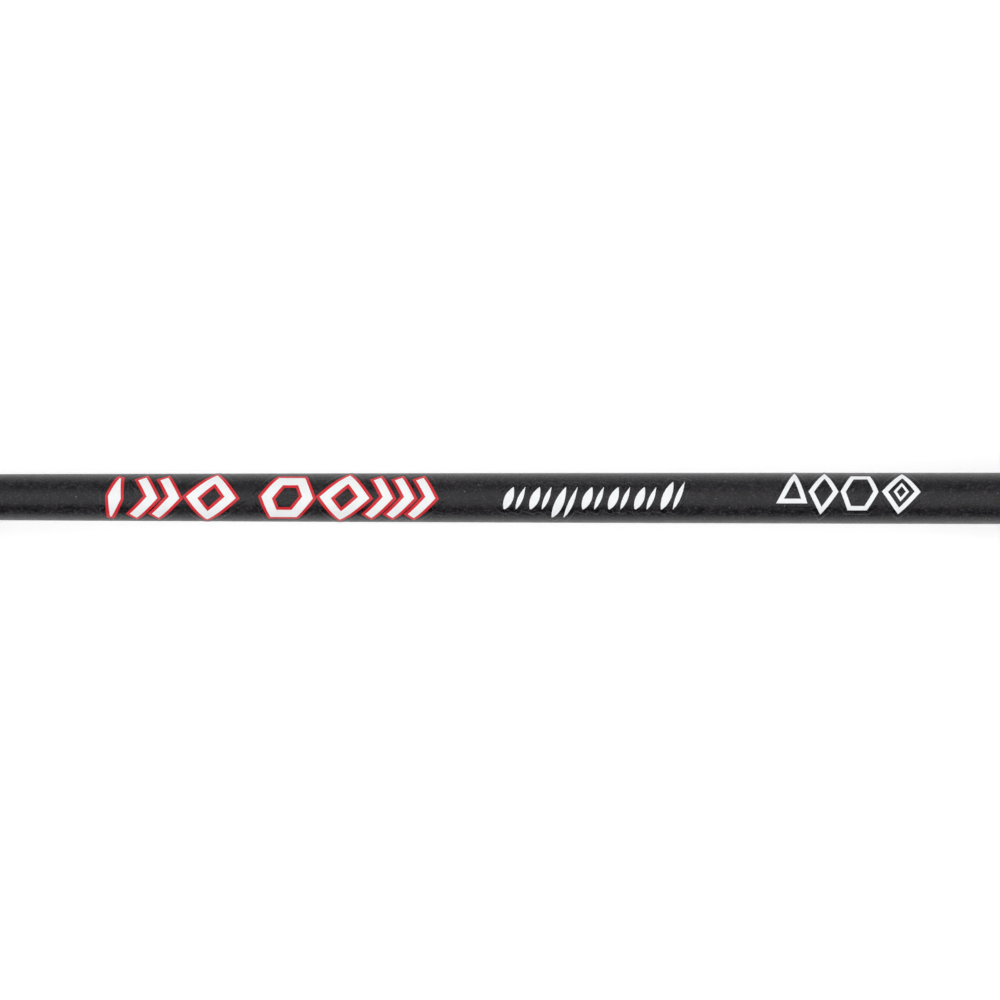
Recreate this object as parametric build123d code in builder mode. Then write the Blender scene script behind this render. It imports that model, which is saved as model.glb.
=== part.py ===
# Compact ice fishing rod: a short tapered carbon blank with four line guides and a tip guide, a foam handle
# and a pipe reel seat whose sliding hood is driven by a lock nut on a real helical thread.
#
# Frame: the rod's axis is the X axis. The butt's flat end face is at x = 0 and the tip points along -X.
# The guides and the reel sit on the -Y side, so the rod lies on a table the way a real one does, on its
# handle and the rim of its first guide, with +Z up. All sizes are in millimetres.
from build123d import *

import os
from math import ceil, cos, radians, sin

# ---------------------------------------------------------------- driving dimensions
overall_length = 570.0
glue_gap = 0.02  # between pieces that are bonded or pressed together
flange_clearance = 0.1  # around the lock nut's flange, inside the sliding hood
slide_gap = 0.15  # between pieces that slide or turn on each other
table_gap = 0.1  # how far the hoods stay clear of the table that the handle rests on

# blank: a carbon tube, straight inside the handle and then thinning as a parabola to the tip
blank_butt_diameter = 6.42
blank_tip_diameter = 3.2
blank_butt_bore = 4.4
blank_tip_bore = 1.4
blank_butt_inset = 5.0  # how far the blank's butt end stops short of the butt face
blank_tip_inset = 6.0  # how far its tip end stops short of the tip guide's front
taper_start = 180.0  # distance from the butt face where the blank starts to thin

# handle pieces, from the butt towards the tip
butt_cap_length = 12.0
butt_ring_length = 2.5
rear_grip_length = 67.5
rear_ring_length = 2.5
seat_length = 104.0
front_ring_length = 2.0
foregrip_length = 22.0
check_length = 4.0

butt_cap_rounding = 3.0
ring_step = 0.3  # how far the trim rings stand back from the grips
ring_chamfer = 0.4
rear_grip_waist = 1.4  # how much slimmer the rear grip is at its waist
foregrip_nose_wall = 4.4
check_front_wall = 1.4

# reel seat
seat_radius = 10.2  # also the thread's outer radius
seat_pipe_wall = 1.5  # of the pipe where the threaded barrel is bonded on
pad_depth = 1.0  # how deep the reel foot's flat pad is cut
seam_width = 0.6
seam_depth = 0.4
barrel_length = 52.5
thread_lead = 2.0
thread_depth = 0.8
barrel_wall = 1.1  # below the thread
thread_crest = 0.5
thread_root = 1.2
thread_length = 40.0
thread_end_margin = 4.0
key_width = 3.0
arbor_length = 14.0

# hoods and lock nut
hood_wall = 0.8
hood_tube_wall = 1.55
hood_corner_extra = 0.4  # how much rounder a hood's outer corners are than its pocket's and wall's
hood_end_step = 0.3  # how far a hood's sloping back cuts into its tube at the far end
crown_rise = 0.05  # how far above the arch the sloping back's curve starts
fixed_hood_length = 20.0
fixed_pocket_depth = 13.5
sliding_hood_length = 17.0
sliding_pocket_depth = 12.5
hood_travel = 24.0
foot_room_width = 13.0
foot_room_height = 5.0
foot_room_rounding = 2.2
cushion_wall = 1.2
cushion_recess = 0.4
hood_lip = 1.0
hood_undercut = 2.4
nut_length = 10.0
nut_wall = 1.45
nut_front_gap = 9.4  # bare thread ahead of the open nut
nut_neck_wall = 0.6
nut_flange = 0.5
nut_flute_count = 24
nut_flute_radius = 0.9

# the handle's radius, just past the hoods: the grips and the first guide's rim rest on the table
hood_bore = seat_radius + slide_gap
hood_radius = hood_bore + hood_tube_wall
contact_radius = hood_radius + table_gap

# guides: distance from the tip guide, ring diameter, ring wall, steel band's wall, height above the axis
first_band_wall = 2.0
guide_table = [
    (178.0, 2 * (contact_radius - first_band_wall), 2.5, first_band_wall, 21.0),
    (120.0, 14.0, 2.0, 1.5, 14.5),
    (74.0, 10.0, 1.6, 1.1, 10.4),
    (34.0, 8.0, 1.4, 0.95, 8.2),
]
double_foot_guides = 2
guide_tilt = 8.0
foot_thickness = 0.8
toe_thickness = 0.25
thread_wrap = 0.42  # winding and its clear coat
wrap_lead_in = 1.2

tip_ring_diameter = 7.0
tip_ring_wall = 1.3
tip_band_wall = 0.9
tip_height = 6.0
tip_tilt = 14.0
tip_tube_length = 12.0
tip_tube_wall = 0.35
tip_tube_end = 1.0

# hook keeper, a bent wire on the blank just ahead of the handle
keeper_gap = 1.5  # from the winding check to the winding over its rear foot
keeper_wire = 1.0
keeper_foot = 3.4
keeper_loop = 5.4
keeper_height = 3.0
keeper_bend = 1.1
keeper_wrap_overhang = 0.8

# ---------------------------------------------------------------- places worked out from them
butt_ring_at = butt_cap_length
rear_grip_at = butt_ring_at + butt_ring_length
rear_ring_at = rear_grip_at + rear_grip_length
seat_at = rear_ring_at + rear_ring_length
front_ring_at = seat_at + seat_length
foregrip_at = front_ring_at + front_ring_length
check_at = foregrip_at + foregrip_length
handle_end = check_at + check_length

blank_butt_radius = blank_butt_diameter / 2
blank_tip_radius = blank_tip_diameter / 2
blank_tip_at = overall_length - blank_tip_inset
handle_bore = blank_butt_radius + glue_gap
ring_radius = contact_radius - ring_step
foregrip_nose_radius = handle_bore + foregrip_nose_wall

thread_root_radius = seat_radius - thread_depth
seat_pipe_radius = thread_root_radius - barrel_wall - glue_gap
seat_bore_radius = seat_pipe_radius - seat_pipe_wall
pad_level = seat_radius - pad_depth  # from the axis to the pad

fixed_mouth_at = seat_at + fixed_hood_length
nut_at = front_ring_at - nut_front_gap - nut_length
sliding_hood_end = nut_at - flange_clearance
sliding_mouth_at = sliding_hood_end - sliding_hood_length
barrel_at = front_ring_at - barrel_length
thread_end = front_ring_at - thread_end_margin
thread_at = thread_end - thread_length

foot_room_top = pad_level + foot_room_height
pocket_half_width = foot_room_width / 2 + cushion_wall
pocket_top = foot_room_top + cushion_wall
hood_top = pocket_top + hood_wall

big = 60.0  # longer than any cross-section is wide

# ---------------------------------------------------------------- working planes
# Turned outlines: local x is the distance from the butt face, local y is the radius.
turning_plane = Plane(origin=(0, 0, 0), x_dir=(-1, 0, 0), z_dir=(0, 1, 0))
# Side outlines: local x is the distance from the butt face, local y points out to the guides' side.
side_plane = Plane(origin=(0, 0, 0), x_dir=(-1, 0, 0), z_dir=(0, 0, 1))
# Plan outlines: local x is the distance from the butt face, local y is up.
plan_plane = turning_plane


def section_plane(distance):
    """A cross-section: local y points out to the guides' side, and the normal points to the tip."""
    return Plane(origin=(-distance, 0, 0), x_dir=(0, 0, -1), z_dir=(-1, 0, 0))


def blank_radius(distance):
    """The blank's outer radius at a distance from the butt face."""
    share = max(0.0, distance - taper_start) / (blank_tip_at - taper_start)
    return blank_butt_radius - (blank_butt_radius - blank_tip_radius) * share**2


pieces = []


def keep(part, label):
    """Labels a finished piece and puts it on the list that is exported."""
    part.label = label
    pieces.append(part)
    return part


def circles(builder, radius):
    """The round edges of a block that have this radius."""
    round_edges = builder.edges().filter_by(GeomType.CIRCLE)
    return round_edges.filter_by(lambda edge: abs(edge.radius - radius) < glue_gap / 2)


def turned_ring(start, length, bore, radius, chamfer_size=0.0):
    """A plain ring on the rod's axis, with its outer corners chamfered."""
    with BuildPart() as ring:
        with BuildSketch(section_plane(start)):
            Circle(radius)
            Circle(bore, mode=Mode.SUBTRACT)
        extrude(amount=length)
        if chamfer_size:
            chamfer(circles(ring, radius), chamfer_size)
    return ring.part


# ---------------------------------------------------------------- blank
def parabola(start_radius, end_radius):
    """The tapered side of the blank from taper_start to its tip, as one quadratic curve."""
    return Bezier(
        (taper_start, start_radius),
        ((taper_start + blank_tip_at) / 2, start_radius),
        (blank_tip_at, end_radius),
    )


def blank_outline(outer_gap):
    """The blank's outside, grown by a gap, as a solid with no bore."""
    with BuildPart() as envelope:
        with BuildSketch(turning_plane):
            with BuildLine():
                side = parabola(blank_butt_radius + outer_gap, blank_tip_radius + outer_gap)
                Polyline(
                    side @ 0,
                    (blank_butt_inset, blank_butt_radius + outer_gap),
                    (blank_butt_inset, 0),
                    (blank_tip_at, 0),
                    side @ 1,
                )
            make_face()
        revolve(axis=Axis.X)
    return envelope.part


blank_envelope = blank_outline(glue_gap)

with BuildPart() as blank:
    add(blank_outline(0.0))
    with BuildSketch(turning_plane):
        with BuildLine():
            bore = parabola(blank_butt_bore / 2, blank_tip_bore / 2)
            Polyline(
                bore @ 0,
                (blank_butt_inset, blank_butt_bore / 2),
                (blank_butt_inset, 0),
                (blank_tip_at, 0),
                bore @ 1,
            )
        make_face()
    revolve(axis=Axis.X, mode=Mode.SUBTRACT)
keep(blank.part, "blank")

# ---------------------------------------------------------------- handle
with BuildPart() as butt_cap:
    with BuildSketch(section_plane(0)):
        Circle(contact_radius)
    extrude(amount=butt_cap_length)
    rim = butt_cap.faces().sort_by(Axis.X)[-1].edges()
    fillet(rim, butt_cap_rounding)
    with BuildSketch(section_plane(blank_butt_inset - glue_gap)):
        Circle(handle_bore)
    extrude(amount=butt_cap_length, mode=Mode.SUBTRACT)
keep(butt_cap.part, "butt_cap")

keep(turned_ring(butt_ring_at, butt_ring_length, handle_bore, ring_radius, ring_chamfer), "butt_ring")

with BuildPart() as rear_grip:
    with BuildSketch(turning_plane):
        with BuildLine():
            grip_side = Spline(
                (rear_grip_at, contact_radius - 0.2),
                (rear_grip_at + 0.12 * rear_grip_length, contact_radius),
                (rear_grip_at + 0.62 * rear_grip_length, contact_radius - rear_grip_waist),
                (rear_ring_at, ring_radius - 0.3),
            )
            Polyline(
                grip_side @ 0,
                (rear_grip_at, handle_bore),
                (rear_ring_at, handle_bore),
                grip_side @ 1,
            )
        make_face()
    revolve(axis=Axis.X)
keep(rear_grip.part, "rear_grip")

keep(turned_ring(rear_ring_at, rear_ring_length, handle_bore, ring_radius, ring_chamfer), "rear_ring")
keep(turned_ring(front_ring_at, front_ring_length, handle_bore, ring_radius, ring_chamfer), "front_ring")

with BuildPart() as foregrip:
    with BuildSketch(turning_plane):
        with BuildLine():
            nose_side = Spline(
                (foregrip_at, ring_radius - 0.1),
                (foregrip_at + 0.18 * foregrip_length, contact_radius),
                (foregrip_at + 0.6 * foregrip_length, 0.5 * (contact_radius + foregrip_nose_radius) + 0.5),
                (check_at, foregrip_nose_radius),
            )
            Polyline(
                nose_side @ 0,
                (foregrip_at, handle_bore),
                (check_at, handle_bore),
                nose_side @ 1,
            )
        make_face()
    revolve(axis=Axis.X)
keep(foregrip.part, "foregrip")

with BuildPart() as winding_check:
    with BuildSketch(turning_plane):
        with BuildLine():
            shoulder = Line(
                (check_at, foregrip_nose_radius),
                (check_at + 0.3 * check_length, foregrip_nose_radius),
            )
            cone = Line(shoulder @ 1, (handle_end - 0.5, handle_bore + check_front_wall))
            nose = Line(cone @ 1, (handle_end, handle_bore + 0.7 * check_front_wall))
            Polyline(nose @ 1, (handle_end, handle_bore), (check_at, handle_bore), shoulder @ 0)
        make_face()
    revolve(axis=Axis.X)
keep(winding_check.part, "winding_check")

# ---------------------------------------------------------------- reel seat
def keyway_profile():
    """The slot that stops the sliding hood from turning, on the side away from the reel."""
    with BuildSketch() as profile:
        with Locations((0, -pad_level - big / 2)):
            Rectangle(key_width, big)
    return profile.sketch


with BuildPart() as seat_body:
    with BuildSketch(section_plane(seat_at)):
        Circle(seat_radius)
    extrude(amount=barrel_at - seat_at)
    with BuildSketch(section_plane(barrel_at)):
        Circle(seat_pipe_radius)
    extrude(amount=front_ring_at - barrel_at)
    with BuildSketch(section_plane(seat_at)):
        Circle(seat_bore_radius)
    extrude(amount=seat_length, mode=Mode.SUBTRACT)
    # the flat pad that the reel foot lies on
    with BuildSketch(side_plane):
        with Locations(((seat_at + barrel_at) / 2, pad_level + big / 2)):
            Rectangle(seat_length, big)
    extrude(amount=big, both=True, mode=Mode.SUBTRACT)
    # the seam that the fixed hood's mouth stops at
    with BuildSketch(section_plane(fixed_mouth_at)):
        Circle(big)
        Circle(seat_radius - seam_depth, mode=Mode.SUBTRACT)
    extrude(amount=seam_width, mode=Mode.SUBTRACT)
    with BuildSketch(side_plane):
        with Locations((fixed_mouth_at + seam_width / 2, pad_level)):
            Rectangle(seam_width, 2 * seam_depth)
    extrude(amount=big, both=True, mode=Mode.SUBTRACT)
    # the keyway runs on from the barrel as far as the closed hood's mouth
    with BuildSketch(section_plane(sliding_mouth_at - hood_travel)):
        add(keyway_profile())
    extrude(amount=barrel_at - sliding_mouth_at + hood_travel, mode=Mode.SUBTRACT)
keep(seat_body.part, "seat_body")


def thread_ridge(start, turns, inner, outer, inner_half_width, outer_half_width):
    """A right-handed helical ridge around the rod's axis. Its profile is a trapezoid between two radii."""
    with BuildPart() as ridge:
        with BuildLine():
            route = Helix(
                pitch=thread_lead,
                height=turns * thread_lead,
                radius=(inner + outer) / 2,
                center=(-start, 0, 0),
                direction=(-1, 0, 0),
            )
        across = (route @ 0) - Vector(-start, 0, 0)
        with BuildSketch(Plane(origin=route @ 0, x_dir=across, z_dir=route % 0)):
            half = (outer - inner) / 2
            Polygon(
                (-half, -inner_half_width),
                (half, -outer_half_width),
                (half, outer_half_width),
                (-half, inner_half_width),
                align=None,
            )
        sweep(path=route, is_frenet=True)
    return ridge.part


ridge_slope = (thread_root - thread_crest) / 2 / thread_depth
ridge_embed = 0.15  # how far a ridge is buried in the wall that carries it

with BuildPart() as thread_barrel:
    with BuildSketch(section_plane(barrel_at)):
        Circle(seat_radius)
    extrude(amount=thread_at - barrel_at)
    with BuildSketch(section_plane(thread_at)):
        Circle(thread_root_radius)
    extrude(amount=front_ring_at - thread_at)
    add(
        thread_ridge(
            thread_at + thread_root / 2,
            (thread_length - thread_root) / thread_lead,
            thread_root_radius - ridge_embed,
            seat_radius,
            thread_root / 2 + ridge_slope * ridge_embed,
            thread_crest / 2,
        )
    )
    with BuildSketch(section_plane(barrel_at)):
        Circle(seat_pipe_radius + glue_gap)
    extrude(amount=barrel_length, mode=Mode.SUBTRACT)
    # the pad goes on along the barrel
    with BuildSketch(side_plane):
        with Locations((barrel_at + barrel_length / 2, pad_level + big / 2)):
            Rectangle(2 * barrel_length, big)
    extrude(amount=big, both=True, mode=Mode.SUBTRACT)
    with BuildSketch(section_plane(barrel_at)):
        add(keyway_profile())
    extrude(amount=barrel_length, mode=Mode.SUBTRACT)
keep(thread_barrel.part, "thread_barrel")

arbor_spacing = (seat_length - arbor_length) / 2
for number in range(3):
    arbor = turned_ring(
        seat_at + number * arbor_spacing, arbor_length, handle_bore, seat_bore_radius - glue_gap
    )
    keep(arbor, f"seat_arbor_{number + 1}")


# ---------------------------------------------------------------- hoods
def hood_profile():
    """The outside of a hood across the rod: a round tube with an arch on the reel's side."""
    corner = foot_room_rounding + cushion_wall + hood_wall + hood_corner_extra
    with BuildSketch() as profile:
        with BuildLine():
            CenterArc((0, 0), hood_radius, 0, 360)
            for side in (-1, 1):
                corner_at = (side * (pocket_half_width + hood_wall - corner), hood_top - corner)
                CenterArc(corner_at, corner, 0, 360)
        make_hull()
    return profile.sketch


def pocket_profile(half_width, top, rounding):
    """A pocket across the rod, open at the bottom, with round upper corners."""
    with BuildSketch() as profile:
        with Locations((0, top / 2)):
            Rectangle(2 * half_width, top)
        fillet(profile.vertices().group_by(Axis.Y)[-1], rounding)
    return profile.sketch


def hood_shell(mouth, toward, length, depth, bore):
    """A metal hood. toward is 1 where it runs to the tip from its mouth, and -1 where it runs to the butt."""
    with BuildPart() as shell:
        with BuildSketch(section_plane(mouth)):
            add(hood_profile())
        extrude(amount=toward * length)
        # the arch drops to the tube's radius behind the pocket, along a curve that starts just above the arch
        crown_end = mouth + toward * (depth + hood_wall / 2)
        far_end = mouth + toward * length
        above, past = hood_top + 1.0, far_end + toward * 1.0
        with BuildSketch(side_plane):
            with BuildLine():
                drop = Bezier(
                    (crown_end, hood_top + crown_rise),
                    ((crown_end + far_end) / 2, hood_top + crown_rise),
                    (far_end, (hood_top + hood_radius) / 2),
                    (far_end, hood_radius - hood_end_step),
                )
                outer = [(past, hood_radius - hood_end_step), (past, above), (crown_end, above)]
                Polyline(drop @ 1, *outer, drop @ 0)
            make_face()
        extrude(amount=big, both=True, mode=Mode.SUBTRACT)
        with BuildSketch(section_plane(mouth)):
            add(pocket_profile(pocket_half_width, pocket_top, foot_room_rounding + cushion_wall))
        extrude(amount=toward * depth, mode=Mode.SUBTRACT)
        with BuildSketch(section_plane(mouth)):
            Circle(bore)
        extrude(amount=toward * length, mode=Mode.SUBTRACT)
    return shell.part


def hood_cushion(mouth, toward, depth, bore):
    """The plastic lining of a hood's pocket, which grips the end of the reel foot."""
    start = mouth + toward * cushion_recess
    with BuildPart() as cushion:
        with BuildSketch(section_plane(start)):
            add(
                pocket_profile(
                    pocket_half_width - glue_gap,
                    pocket_top - glue_gap,
                    foot_room_rounding + cushion_wall,
                )
            )
            add(pocket_profile(foot_room_width / 2, foot_room_top, foot_room_rounding), mode=Mode.SUBTRACT)
            Circle(bore + glue_gap, mode=Mode.SUBTRACT)
        extrude(amount=toward * (depth - cushion_recess - glue_gap))
    return cushion.part


keep(
    hood_shell(fixed_mouth_at, -1, fixed_hood_length, fixed_pocket_depth, seat_radius + glue_gap),
    "fixed_hood",
)
keep(hood_cushion(fixed_mouth_at, -1, fixed_pocket_depth, seat_radius + glue_gap), "fixed_hood_cushion")

# the nut's neck turns in the sliding hood's front end, and its flange is caught behind the hood's lip
neck_bore = seat_radius + slide_gap
neck_radius = neck_bore + nut_neck_wall
flange_radius = neck_radius + nut_flange

with BuildPart() as sliding_hood:
    add(hood_shell(sliding_mouth_at, 1, sliding_hood_length, sliding_pocket_depth, hood_bore))
    with BuildSketch(section_plane(sliding_hood_end - hood_lip - hood_undercut)):
        Circle(flange_radius + flange_clearance)
    extrude(amount=hood_undercut, mode=Mode.SUBTRACT)
    with BuildSketch(section_plane(sliding_hood_end - hood_lip)):
        Circle(neck_radius + slide_gap)
    extrude(amount=hood_lip, mode=Mode.SUBTRACT)
    # the key that runs in the barrel's keyway
    with BuildSketch(section_plane(sliding_mouth_at + 1.0)):
        with Locations((0, -(pad_level + slide_gap + hood_bore + ridge_embed) / 2)):
            Rectangle(key_width - 2 * slide_gap, hood_bore + ridge_embed - pad_level - slide_gap)
    extrude(amount=sliding_pocket_depth - 2.0)
keep(sliding_hood.part, "sliding_hood")
keep(hood_cushion(sliding_mouth_at, 1, sliding_pocket_depth, hood_bore), "sliding_hood_cushion")

# ---------------------------------------------------------------- lock nut
nut_radius = neck_bore + nut_wall
neck_at = sliding_hood_end - hood_lip - hood_undercut + flange_clearance
flange_end = sliding_hood_end - hood_lip - flange_clearance
ridge_clearance = 0.13
ridge_steps = ceil((nut_at + thread_root - thread_at - thread_root / 2) / thread_lead)
nut_ridge_at = thread_at + thread_root / 2 + (ridge_steps + 0.5) * thread_lead
nut_ridge_turns = int((nut_at + nut_length - thread_root - nut_ridge_at) / thread_lead)
nut_ridge_inner = thread_root_radius + slide_gap


def groove_half_width(radius):
    """Half the width of the groove between two ridges of the barrel's thread, at a radius."""
    return (thread_lead - thread_root) / 2 + ridge_slope * (radius - thread_root_radius)


with BuildPart() as lock_nut:
    with BuildSketch(section_plane(nut_at)):
        Circle(nut_radius)
    extrude(amount=nut_length)
    chamfer(lock_nut.edges(), 0.6)
    with BuildSketch(section_plane(nut_at)):
        with PolarLocations(nut_radius + 0.35 * nut_flute_radius, nut_flute_count):
            Circle(nut_flute_radius)
    extrude(amount=nut_length, mode=Mode.SUBTRACT)
    with BuildSketch(section_plane(neck_at)):
        Circle(flange_radius)
    extrude(amount=flange_end - neck_at)
    with BuildSketch(section_plane(neck_at)):
        Circle(neck_radius)
    extrude(amount=nut_at - neck_at)
    with BuildSketch(section_plane(neck_at)):
        Circle(neck_bore)
    extrude(amount=nut_at + nut_length - neck_at, mode=Mode.SUBTRACT)
    add(
        thread_ridge(
            nut_ridge_at,
            nut_ridge_turns,
            nut_ridge_inner,
            neck_bore + ridge_embed,
            groove_half_width(nut_ridge_inner) - ridge_clearance,
            groove_half_width(neck_bore + ridge_embed) - ridge_clearance,
        )
    )
keep(lock_nut.part, "lock_nut")


# ---------------------------------------------------------------- guides
def ring_plane(distance, height, tilt):
    """The plane of a line ring: local x points out from the blank and leans to the tip by the tilt."""
    lean = radians(tilt)
    return Plane(
        origin=(-distance, -height, 0),
        x_dir=(-sin(lean), -cos(lean), 0),
        z_dir=(cos(lean), -sin(lean), 0),
    )


def ceramic_ring(plane, diameter, wall):
    """A hard ceramic ring with a rounded way in on both sides and a short straight land between."""
    width = ring_width(diameter)
    with BuildPart() as ring:
        with BuildSketch(plane.offset(-width / 2)):
            Circle(diameter / 2)
            Circle(diameter / 2 - wall, mode=Mode.SUBTRACT)
        extrude(amount=width)
        fillet(circles(ring, diameter / 2 - wall), ring_rounding(diameter, wall))
        fillet(circles(ring, diameter / 2), 0.12 * width)
    return ring.part


def ring_width(diameter):
    """A ring's width along the line, which grows slowly with its size."""
    return 1.2 + 0.07 * diameter


def ring_rounding(diameter, wall):
    """The radius of a ring's rounded way in."""
    return min(0.36 * ring_width(diameter), 0.6 * wall)


def band(plane, diameter, wall):
    """The steel band that a ceramic ring is pressed into."""
    seat = diameter / 2 + glue_gap
    radius = diameter / 2 + wall
    width = ring_width(diameter) - 0.3
    with BuildPart() as steel:
        with BuildSketch(plane.offset(-width / 2)):
            Circle(radius)
            Circle(seat, mode=Mode.SUBTRACT)
        extrude(amount=width)
        fillet(circles(steel, radius), min(0.3 * width, 0.45 * wall))
    return steel.part


def foot_blade(heel, toe, width, grow=0.0):
    """A flat foot along the blank, thick and wide at its heel and thin and narrow at its toe."""
    toward = 1 if toe > heel else -1
    end = toe + toward * grow
    half_heel, half_toe = width / 2 + grow, 0.28 * width + grow
    with BuildPart() as blade:
        with BuildSketch(plan_plane):
            Polygon(
                (heel, -half_heel),
                (heel, half_heel),
                (end - toward * half_toe, half_toe),
                (end, 0.45 * half_toe),
                (end, -0.45 * half_toe),
                (end - toward * half_toe, -half_toe),
                align=None,
            )
        extrude(amount=big, both=True)
        with BuildSketch(side_plane):
            Polygon(
                (heel, 0),
                (heel, blank_radius(heel) + foot_thickness + grow),
                (end, blank_radius(end) + toe_thickness + grow),
                (end, 0),
                align=None,
            )
        extrude(amount=big, both=True, mode=Mode.INTERSECT)
    return blade.part


def leg_sheet(distance, height, radius, seat, base_width, leg_width, side_points):
    """A bent sheet leg: the guide's front outline, cut where the sheet's side outline passes."""
    base_top = blank_radius(distance)
    reach = 2 * height
    with BuildPart() as sheet:
        with BuildSketch(section_plane(distance - reach)) as front:
            with BuildLine():
                CenterArc((0, height), radius, 0, 360)
                for side in (-1, 1):
                    CenterArc((side * (base_width / 2 - 0.4), 0.6), 0.4, 0, 360)
            make_hull()
        extrude(amount=2 * reach)
        # the line's way through the ring stays clear
        with BuildSketch(section_plane(distance - reach)):
            with Locations((0, height)):
                Circle(seat)
        extrude(amount=2 * reach, mode=Mode.SUBTRACT)
        # the window between the two legs
        window_top = height - radius * 0.98
        window_floor = base_top + 0.12 * height
        lean = (radius - base_width / 2) / height
        half_top = base_width / 2 + lean * window_top - leg_width
        half_floor = base_width / 2 + lean * window_floor - leg_width
        if half_floor > 0.2 and window_top > window_floor + 1.0:
            with BuildSketch(section_plane(distance - reach)) as window:
                Polygon(
                    (-half_floor, window_floor),
                    (half_floor, window_floor),
                    (half_top, window_top),
                    (-half_top, window_top),
                    align=None,
                )
                fillet(window.vertices(), min(0.25 * (window_top - window_floor), 0.45 * half_floor))
            extrude(amount=2 * reach, mode=Mode.SUBTRACT)
        with BuildSketch(side_plane):
            Polygon(*side_points, align=None)
        extrude(amount=big, both=True, mode=Mode.INTERSECT)
    return sheet.part


def winding(start, end, foot=None, frame=None):
    """A thread winding under its clear coat: a sleeve on the blank that climbs over a guide's foot."""
    with BuildPart() as wrap:
        with BuildSketch(turning_plane):
            Polygon(
                (start, 0.5 * blank_radius(start)),
                (start, blank_radius(start) + 0.25 * thread_wrap),
                (start + wrap_lead_in, blank_radius(start) + thread_wrap),
                (end - wrap_lead_in, blank_radius(end) + thread_wrap),
                (end, blank_radius(end) + 0.25 * thread_wrap),
                (end, 0.5 * blank_radius(end)),
                align=None,
            )
        revolve(axis=Axis.X)
        if foot is not None:
            add(foot)
        add(blank_envelope, mode=Mode.SUBTRACT)
        if frame is not None:
            add(frame, mode=Mode.SUBTRACT)
    return wrap.part


def single_foot_guide(number, distance, diameter, ring_wall, band_wall, height):
    """A guide with one foot, which lies towards the butt, and a ring that leans to the tip."""
    plane = ring_plane(distance, height, guide_tilt)
    radius = diameter / 2 + band_wall
    base_width = 2.2 + 0.04 * diameter
    foot_length = 9.0 + 0.2 * diameter
    lean = sin(radians(guide_tilt)) / cos(radians(guide_tilt))
    # the stem follows the ring's plane down to the blank, where it turns into the foot
    stem_half = 0.55
    base = blank_radius(distance)
    root = distance - (height - base) * lean
    crown = distance + 0.2 * radius * lean
    side_points = [
        (crown - stem_half, height + 0.2 * radius),
        (crown + stem_half, height + 0.2 * radius),
        (root + stem_half, base * 0.5),
        (root - stem_half - 0.9, base * 0.5),
        (root - stem_half - 0.9, base + foot_thickness),
        (root - stem_half + 0.1, base + foot_thickness + 1.0),
    ]
    toe = root - foot_length
    with BuildPart() as frame:
        add(band(plane, diameter, band_wall))
        add(
            leg_sheet(
                distance, height, radius - 0.25, diameter / 2 + glue_gap, base_width,
                0.75 + 0.02 * diameter, side_points,
            )
        )
        add(foot_blade(root + 0.2, toe, base_width))
        # the ring's seat and the blank stay clear
        with BuildSketch(plane.offset(-diameter)):
            Circle(diameter / 2 + glue_gap)
        extrude(amount=2 * diameter, mode=Mode.SUBTRACT)
        add(blank_envelope, mode=Mode.SUBTRACT)
    keep(frame.part, f"guide_{number}_frame")
    keep(ceramic_ring(plane, diameter, ring_wall), f"guide_{number}_ring")
    heel = root - stem_half - 0.4
    over = foot_blade(heel, toe, base_width, grow=thread_wrap)
    keep(winding(toe - 2.4, heel, over, frame.part), f"guide_{number}_wrap")


def double_foot_guide(number, distance, diameter, ring_wall, band_wall, height):
    """A guide with a foot on each side of an upright ring: one sheet leg forward and one back."""
    plane = ring_plane(distance, height, 0.0)
    radius = diameter / 2 + band_wall
    base_width = 2.6 + 0.05 * diameter
    foot_length = 7.0 + 0.25 * diameter
    half = 0.6
    base = blank_radius(distance)
    spread = 0.42 * (height - base)
    legs, feet = [], []
    for toward, top in ((1, height - 0.55 * radius), (-1, height + 0.1 * radius)):
        run = spread * (1.0 if toward > 0 else 1.35)
        heel = distance + toward * run
        shin = (heel - distance) / (top - base)
        legs.append(
            [
                (distance - half, top),
                (distance + half, top),
                (heel + half + shin * base * 0.5, base * 0.5),
                (heel - half + shin * base * 0.5, base * 0.5),
            ]
        )
        feet.append((toward, heel, heel + toward * foot_length))
    with BuildPart() as frame:
        add(band(plane, diameter, band_wall))
        for side_points in legs:
            add(
                leg_sheet(
                    distance, height, radius - 0.25, diameter / 2 + glue_gap, base_width,
                    1.1 + 0.04 * diameter, side_points,
                )
            )
        for toward, heel, toe in feet:
            add(foot_blade(heel - toward * half, toe, base_width))
        with BuildSketch(plane.offset(-diameter)):
            Circle(diameter / 2 + glue_gap)
        extrude(amount=2 * diameter, mode=Mode.SUBTRACT)
        add(blank_envelope, mode=Mode.SUBTRACT)
    keep(frame.part, f"guide_{number}_frame")
    keep(ceramic_ring(plane, diameter, ring_wall), f"guide_{number}_ring")
    for toward, heel, toe in feet:
        start = heel + toward * 1.6
        over = foot_blade(start, toe, base_width, grow=thread_wrap)
        end = toe + toward * 2.4
        name = "front" if toward > 0 else "rear"
        wrap = winding(min(start, end), max(start, end), over, frame.part)
        keep(wrap, f"guide_{number}_wrap_{name}")


tip_ring_radius = tip_ring_diameter / 2 + tip_band_wall
tip_band_half = (ring_width(tip_ring_diameter) - 0.3) / 2
tip_at = overall_length - tip_ring_radius * sin(radians(tip_tilt)) - tip_band_half * cos(radians(tip_tilt))

for index, (from_tip, *sizes) in enumerate(guide_table):
    distance = tip_at - from_tip
    if index < double_foot_guides:
        double_foot_guide(index + 1, distance, *sizes)
    else:
        single_foot_guide(index + 1, distance, *sizes)

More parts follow.
